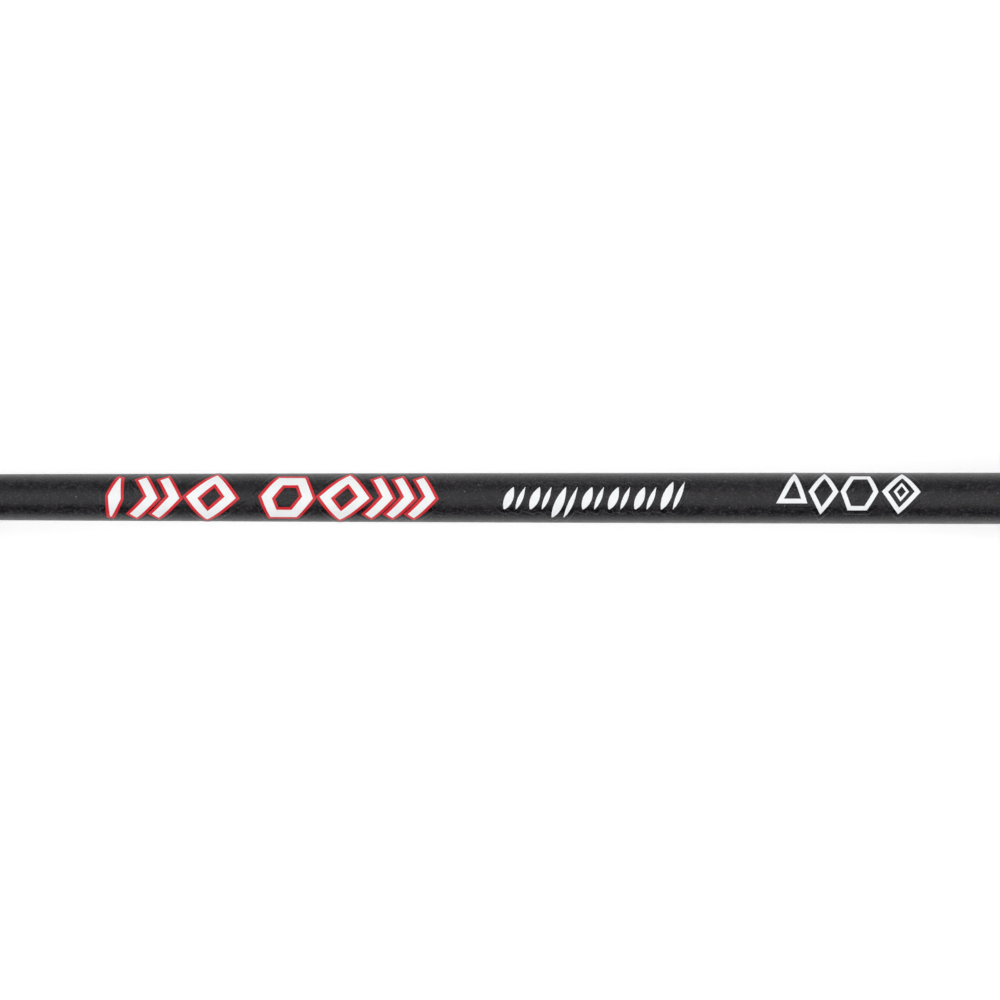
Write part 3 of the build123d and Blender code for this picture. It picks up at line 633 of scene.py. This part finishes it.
def loop(x, radius, bore, rounding):
    """A closed outline from a side and a bore, with its outer corners rounded by a quarter circle's
    formula: near an end the radius drops by rounding times one less the root of one less the square of
    the way in."""
    near = np.minimum(x.max() - x, x - x.min())
    way = np.clip(1 - near / rounding, 0, 1)
    radius = radius - rounding * (1 - np.sqrt(1 - way**2))
    return np.concatenate([np.stack([x, radius], axis=-1), [[x.min(), bore], [x.max(), bore]]])


def even_and_ends(high, low, count, rounding):
    """Places from high to low, close together near both ends."""
    share = 0.5 - 0.5 * np.cos(np.linspace(0, math.pi, 12))
    ends = np.concatenate([high - rounding * share, low + rounding * share])
    return np.unique(np.concatenate([ends, np.linspace(high, low, count)]))[::-1]


def make_grip(node, name):
    """A foam grip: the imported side, with rounded ends and a few hundredths of unevenness from its
    turning, the product of two sines along x."""
    x, radius, bore = turned_side(node)
    places = even_and_ends(x[0], x[-1], 160, GRIP_ROUNDING)
    uneven = UNEVENNESS * (1 + np.sin(places * 1.9) * np.sin(places * 0.53))
    side = np.interp(places, x[::-1], radius[::-1]) - uneven
    outline = loop(places, side, bore, GRIP_ROUNDING)
    piece(name, [turned_shell(outline)], eva_foam, replaces=[node])


def make_trim_ring(node, name, grooves):
    """A turned ring: its packed side, or its full radius less narrow round-bottomed grooves, each a high
    power of a cosine along x."""
    low, high = box_mm(node)
    places = even_and_ends(high[0], low[0], 90, RING_ROUNDING)
    x, radius, bore = turned_side(node)
    side = np.interp(places, x[::-1], radius[::-1])
    if grooves:
        share = (places - low[0]) / (high[0] - low[0])
        margin = 0.5 / (grooves + 1)
        inside = (share > margin) & (share < 1 - margin)
        wave = np.abs(np.cos(share * (grooves + 1) * math.pi)) ** GROOVE_POWER
        side = side.max() - GROOVE_DEPTH * np.where(inside, wave, 0.0)
    outline = loop(places, side, bore, RING_ROUNDING)
    piece(name, [turned_shell(outline)], red_anodised, replaces=[node])


def make_butt_cap():
    """The rubber cap: a quarter circle's corner round a shallow dish, and grip ribs round its side, each
    the cube of a raised cosine along x."""
    low, high = box_mm("butt_cap")
    radius, end = high[2], high[0]
    bore = turned_side("butt_cap")[2]
    socket = box_mm("blank")[1][0]
    # the dish's floor, its slope and its rim: how deep each lies, and how far in from the cap's side
    dish = [(0.7, radius), (0.7, 5.6), (0.55, 5.0), (0.1, 4.6), (0.0, 4.2)]
    dish = np.array([[end - deep, radius - inwards] for deep, inwards in dish])
    arc = np.linspace(0, math.pi / 2, 24)
    middle = np.array([end - CAP_CORNER, radius - CAP_CORNER])
    corner = middle + CAP_CORNER * np.stack([np.cos(arc), np.sin(arc)], axis=-1)
    places = np.linspace(end - CAP_CORNER, low[0] + CAP_LIP, 110)[1:]
    share = (places - places[-1]) / (places[0] - places[-1])
    rib = 0.5 - 0.5 * np.cos(share * 2 * math.pi * CAP_RIBS)
    side = np.stack([places, radius - RIB_DEPTH * rib**3], axis=-1)
    inside = np.array([[low[0], radius - CAP_LIP], [low[0], bore], [socket, bore], [socket, 0.0]])
    outline = np.concatenate([dish, corner, side, inside])
    cap = turned_shell(outline)
    piece("butt_cap_rubber", [cap], butt_rubber, replaces=["butt_cap"])


# ---------------------------------------------------------------- seat, hoods, nut and guide frames
def softened(node, finish, width, body="rod", angle=32.0):
    """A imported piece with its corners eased: a merged copy with flat areas joined, and a small bevel on
    the edges that turn by more than angle degrees."""
    name = f"{node}_eased"
    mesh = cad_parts[node].data.copy()
    shape = bmesh.new()
    shape.from_mesh(mesh)
    bmesh.ops.remove_doubles(shape, verts=shape.verts, dist=0.002 * MM)
    bmesh.ops.dissolve_limit(shape, angle_limit=math.radians(0.6), verts=shape.verts, edges=shape.edges)
    shape.to_mesh(mesh)
    shape.free()
    mesh.name = name
    mesh.materials.clear()
    made = settle(name, mesh, finish, body, [node], 30.0)
    bevel = made.modifiers.new("eased edges", "BEVEL")
    bevel.width = width * MM
    bevel.segments = 2
    bevel.limit_method = "ANGLE"
    bevel.angle_limit = math.radians(angle)
    bevel.harden_normals = True


def finish_node(node, finish):
    """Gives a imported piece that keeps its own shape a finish."""
    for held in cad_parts[node].material_slots:
        held.material = finish.material


# ---------------------------------------------------------------- windings
THREAD_PITCH, WINDING_STEP = 0.17, 0.09
COAT, THIN_END, END_RUN = 0.42, 0.10, 1.1  # thread and clear coat, and how they thin out at the ends
COAT_EASE = 0.03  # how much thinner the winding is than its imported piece
WINDING_SINK = 0.15  # how far its underside is sunk into the blank
FOOT_THICKNESS, TOE_THICKNESS = 0.8, 0.25
TOE_SHARE = 0.56  # a foot's width at its toe as a share of its heel's
TOE_RUN_OUT = 1.4  # how far past the toe the winding takes to come down to the blank
WIRE_RUN_OUT = 0.7  # the same past the end of the keeper's wire
CORNER_TIGHTNESS = 9.0  # how closely the rounding keeps to a foot's corner, per millimetre
STEEPEST = 1.2  # the widest angle, in radians, at which a straight side's radius is worked out


def foot_hull(x, turn, base, bead, low, high, guide):
    """The radius over a guide's foot, for places x and turns from the foot's middle, outside a bare
    radius base. Up to the foot's corner it is a flat's, h over cos(turn). From there to the blank it is a
    tangent's, base over the cosine of what is left to the point of contact. The smaller counts, with the
    corner rounded by taking the log of the sum of their exponentials. The flat sinks to the blank just
    past the toe."""
    frame_low, frame_high = box_mm(f"{guide}_frame")
    ring_low, ring_high = box_mm(f"{guide}_ring")
    to_the_butt = low[0] + high[0] > ring_low[0] + ring_high[0]
    toe, heel = (frame_high[0], low[0]) if to_the_butt else (frame_low[0], high[0])
    frame_x, frame_y, frame_z = packed_points(f"{guide}_frame").T
    near_blank = -frame_y < blank_radius(frame_x) + FOOT_THICKNESS + 0.1
    heel_half = np.abs(frame_z[near_blank]).max()
    share = np.clip((x - toe) / (heel - toe), 0, 1)
    past_toe = np.clip((x - toe) / (toe - heel), 0, None) * abs(toe - heel)
    on_foot = np.clip(1 - past_toe / TOE_RUN_OUT, 0, 1)
    toe_top = blank_radius(toe) + TOE_THICKNESS
    top = toe_top + (-low[1] - COAT - toe_top) * share
    height = blank_radius(x) + (top - blank_radius(x)) * on_foot**1.5 + bead
    half = heel_half * (TOE_SHARE + (1 - TOE_SHARE) * share) * np.maximum(on_foot, 0.05)
    corner, corner_turn = np.hypot(height, half), np.arctan2(half, height)
    contact = (corner_turn + np.arccos(np.clip(base / corner, -1, 1)))[:, None]
    base = base[:, None]
    flat = height[:, None] / np.cos(np.minimum(turn, STEEPEST))
    tangent = base / np.cos(np.clip(contact - turn, -STEEPEST, STEEPEST))
    both = np.exp(-CORNER_TIGHTNESS * flat) + np.exp(-CORNER_TIGHTNESS * tangent)
    radius = -np.log(both) / CORNER_TIGHTNESS
    return np.where(turn <= contact, np.maximum(radius, base), base)


def wire_hull(x, turn, base, bead):
    """The radius over one of the keeper's feet: the outline round two circles, the blank's of radius base
    and the wire's in its coat. From the wire's middle it is the wire's circle, then the tangent of both,
    base over the cosine of what is left to the point of contact. Past the wire's end its circle sinks
    into the blank's."""
    low, high = box_mm("hook_keeper")
    wire = (high[2] - low[2]) / 2
    past_end = np.clip(np.maximum(x - high[0], low[0] - x), 0, None)
    on_foot = 0.5 + 0.5 * np.cos(math.pi * np.clip(past_end / WIRE_RUN_OUT, 0, 1))
    own = (wire + bead)[:, None]
    base = base[:, None]
    away = base - own + (wire - high[1] - base + own) * on_foot[:, None]
    contact = np.arccos(np.clip((base - own) / away, -1, 1))
    touch = np.arctan2(own * np.sin(contact), away + own * np.cos(contact))
    on_wire = away * np.cos(turn) + np.sqrt(np.clip(own**2 - (away * np.sin(turn)) ** 2, 0, None))
    on_tangent = base / np.cos(np.clip(contact - turn, 0, STEEPEST))
    return np.where(turn < touch, on_wire, np.where(turn < contact, on_tangent, base))


def make_winding(node, guide=None, trim=True):
    """A winding in its clear coat: the blank's radius and the coat, or the hull over a guide's foot or
    the keeper's, with a slow wave of a hundredth of a millimetre. The coat thins out at both ends as a
    quarter of an ellipse does. Each point carries its count of thread turns, and its distance from the
    nearer end."""
    low, high = box_mm(node)
    x = np.linspace(low[0], high[0], int((high[0] - low[0]) / WINDING_STEP))
    around = np.linspace(-math.pi, math.pi, 128, endpoint=False)
    inset = np.minimum(x - low[0], high[0] - x)
    way_in = np.clip(1 - inset / END_RUN, 0, 1)
    bead = THIN_END + (COAT - THIN_END) * np.sqrt(1 - way_in**2) - COAT_EASE
    base = blank_radius(x) + bead
    radius = base[:, None] + 0 * around
    if guide:
        radius = foot_hull(x, np.abs(around)[None, :], base, bead, low, high, guide)
    elif node.startswith("keeper"):
        radius = wire_hull(x, np.abs(around)[None, :], base, bead)
    radius = radius + 0.012 * np.sin(x / 1.3)[:, None] * np.cos(2 * around)
    turns = ((x - low[0]) / THREAD_PITCH)[:, None] + around / (2 * math.pi)
    under = (blank_radius(x[[-1, 0]]) - WINDING_SINK)[:, None] + 0 * around
    radius = np.concatenate([radius, under])
    x = np.concatenate([x, x[[-1, 0]]])[:, None] + 0 * around
    grid = np.stack([x, -radius * np.cos(around), radius * np.sin(around)], axis=-1)
    inset = np.concatenate([inset, [0, 0]]) if trim else np.zeros(len(grid))
    values = {
        "turns": np.concatenate([turns, turns[[-1, 0]]]).ravel(),
        "inset": (inset[:, None] + 0 * around).ravel(),
    }
    name = node.replace("wrap", "thread")
    wound = shell(grid, closed_rows=True)
    piece(name, [wound], thread, replaces=[node], attributes=values)


# ---------------------------------------------------------------- the rod
make_blank()
make_bold_print()
make_small_print()
make_butt_cap()
make_grip("rear_grip", "rear_grip_foam")
make_grip("foregrip", "foregrip_foam")
make_trim_ring("butt_ring", "butt_ring_turned", grooves=1)
make_trim_ring("rear_ring", "rear_ring_turned", grooves=1)
make_trim_ring("front_ring", "front_ring_turned", grooves=1)
make_trim_ring("winding_check", "winding_check_turned", grooves=0)

softened("fixed_hood", gunmetal, 0.22)
softened("sliding_hood", gunmetal, 0.22, body="hood")
softened("lock_nut", nut_gunmetal, 0.10, body="nut")
softened("seat_body", seat_nylon, 0.15)
for node in ("fixed_hood_cushion", "sliding_hood_cushion"):
    finish_node(node, lining)
finish_node("thread_barrel", seat_nylon)
for number in (1, 2, 3):
    finish_node(f"seat_arbor_{number}", arbor_resin)

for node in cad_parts:
    if node.endswith("_frame"):
        softened(node, guide_steel, 0.10, angle=50.0)
    elif node.startswith(("guide", "tip")) and node.endswith("_ring"):
        finish_node(node, guide_ceramic)
finish_node("hook_keeper", guide_steel)

for number in (1, 2):
    for side in ("front", "rear"):
        make_winding(f"guide_{number}_wrap_{side}", f"guide_{number}")
for number in (3, 4):
    make_winding(f"guide_{number}_wrap", f"guide_{number}")
make_winding("tip_top_wrap")
make_winding("keeper_wrap_rear", trim=False)
make_winding("keeper_wrap_front", trim=False)

# ---------------------------------------------------------------- floor, light and camera
# The view looks straight down at a stretch of the blank ahead of the handle, in millimetres.
VIEW_MIDDLE, VIEW_ACROSS, VIEW_WIDTH = -298.5, -0.27, 123.2
VIEW_ROLL = 0.07  # degrees
LENS, SENSOR = 100.0, 36.0
# the floor
FLOOR_HALF, FLOOR_GAP = 3000.0, 0.05
NEAR_GLOW, FAR_GLOW = 0.42, 0.84
GLOW_NEAR, GLOW_FAR = 0.5, 1.8  # in metres from the middle of the view
# the soft boxes: brightness, size (along, across) and place from the middle of the view, in metres
OVERHEAD, OVERHEAD_SIZE, OVERHEAD_AT = 1.12, (1.5, 1.05), (0.10, -0.05, 0.75)
END, END_SIZE, END_AT = 2.7, (0.8, 0.8), (0.95, 0.0, 0.5)
WALL, WALL_SIZE, WALL_AT = 0.50, (1.6, 0.5), (0.0, 0.9, 0.35)
WALL_AIM = 0.2  # how high up the side wall looks
SURROUND, BACKDROP = 0.06, 0.9  # how much light the surround gives, and how bright it looks


def make_floor():
    """A plain pale floor just under the rod, much wider than it. It is a light table: it glows a little
    near the rod and more far from it, where the soft boxes don't reach, so it stays pale all over."""
    level = box_mm("butt_cap")[0][2] - FLOOR_GAP
    corners = FLOOR_HALF * np.array([[-1, -1, 0], [1, -1, 0], [1, 1, 0], [-1, 1, 0]]) + [0, 0, level]
    pale = Finish("pale_floor", Roughness=0.85, Emission_Strength=1.0)
    middle = (VIEW_MIDDLE * MM, 0.0, 0.0)
    away = pale.node("ShaderNodeVectorMath", {"operation": "DISTANCE"}, {0: pale.place, 1: middle}, "Value")
    glow = pale.mix(away.ramp(GLOW_NEAR, GLOW_FAR), (NEAR_GLOW,) * 3, (FAR_GLOW,) * 3)
    pale.set("Emission Color", glow)
    pale.set("Base Color", pale.mix(pale.noise(40.0), (0.93, 0.93, 0.93), (0.95, 0.95, 0.95)))
    mesh = bpy.data.meshes.new("floor")
    mesh.from_pydata((corners * MM).tolist(), [], [(0, 1, 2, 3)])
    floor = bpy.data.objects.new("floor", mesh)
    bpy.context.scene.collection.objects.link(floor)
    floor.data.materials.append(pale.material)


def area_light(name, place, aim, size, brightness):
    """A soft box of size (along, across) metres at a place, turned to an aim, with an even brightness.
    Its power is pi times its area times its brightness."""
    data = bpy.data.lights.new(name, "AREA")
    data.shape = "RECTANGLE"
    data.size, data.size_y = size
    data.energy = math.pi * size[0] * size[1] * brightness
    lamp = bpy.data.objects.new(name, data)
    lamp.visible_camera = False
    lamp.location = place
    lamp.rotation_euler = (Vector(aim) - Vector(place)).to_track_quat("-Z", "X").to_euler()
    bpy.context.scene.collection.objects.link(lamp)


def make_studio():
    """Soft studio light: a wide soft box overhead, one beyond each end of the rod, a dim pale wall along
    one side, and a pale surround that gives little light, so that the rod's sides reflect something
    darker."""
    world = bpy.data.worlds.new("studio")
    bpy.context.scene.world = world
    world.use_nodes = True
    tree = world.node_tree
    background = tree.nodes["Background"]
    background.inputs["Color"].default_value = (0.97, 0.98, 1.0, 1.0)
    seen = tree.nodes.new("ShaderNodeLightPath")
    strength = tree.nodes.new("ShaderNodeMapRange")
    strength.inputs["To Min"].default_value = SURROUND
    strength.inputs["To Max"].default_value = BACKDROP
    tree.links.new(seen.outputs["Is Camera Ray"], strength.inputs["Value"])
    tree.links.new(strength.outputs["Result"], background.inputs["Strength"])
    middle = Vector((VIEW_MIDDLE * MM, 0.0, 0.0))
    overhead = middle + Vector(OVERHEAD_AT)
    area_light("overhead", overhead, (overhead.x, overhead.y, 0.0), OVERHEAD_SIZE, OVERHEAD)
    area_light("side_wall", middle + Vector(WALL_AT), (middle.x, 0.0, WALL_AIM), WALL_SIZE, WALL)
    for way in (-1, 1):
        beyond = Vector((way * END_AT[0], END_AT[1], END_AT[2]))
        area_light("end_box", middle + beyond, middle, END_SIZE, END)


def make_camera():
    """The camera looks straight down, with the rod across the view and the butt on the right. It stands
    so far off that the lens takes in the view's width."""
    data = bpy.data.cameras.new("camera")
    data.lens, data.sensor_width = LENS, SENSOR
    data.clip_start, data.clip_end = 0.01, 20.0
    camera = bpy.data.objects.new("camera", data)
    distance = VIEW_WIDTH * LENS / SENSOR
    camera.location = (VIEW_MIDDLE * MM, VIEW_ACROSS * MM, distance * MM)
    camera.rotation_euler = (0.0, 0.0, math.radians(VIEW_ROLL))
    bpy.context.scene.collection.objects.link(camera)
    bpy.context.scene.camera = camera


make_floor()
make_studio()
make_camera()
bpy.context.scene.view_settings.view_transform = "Standard"
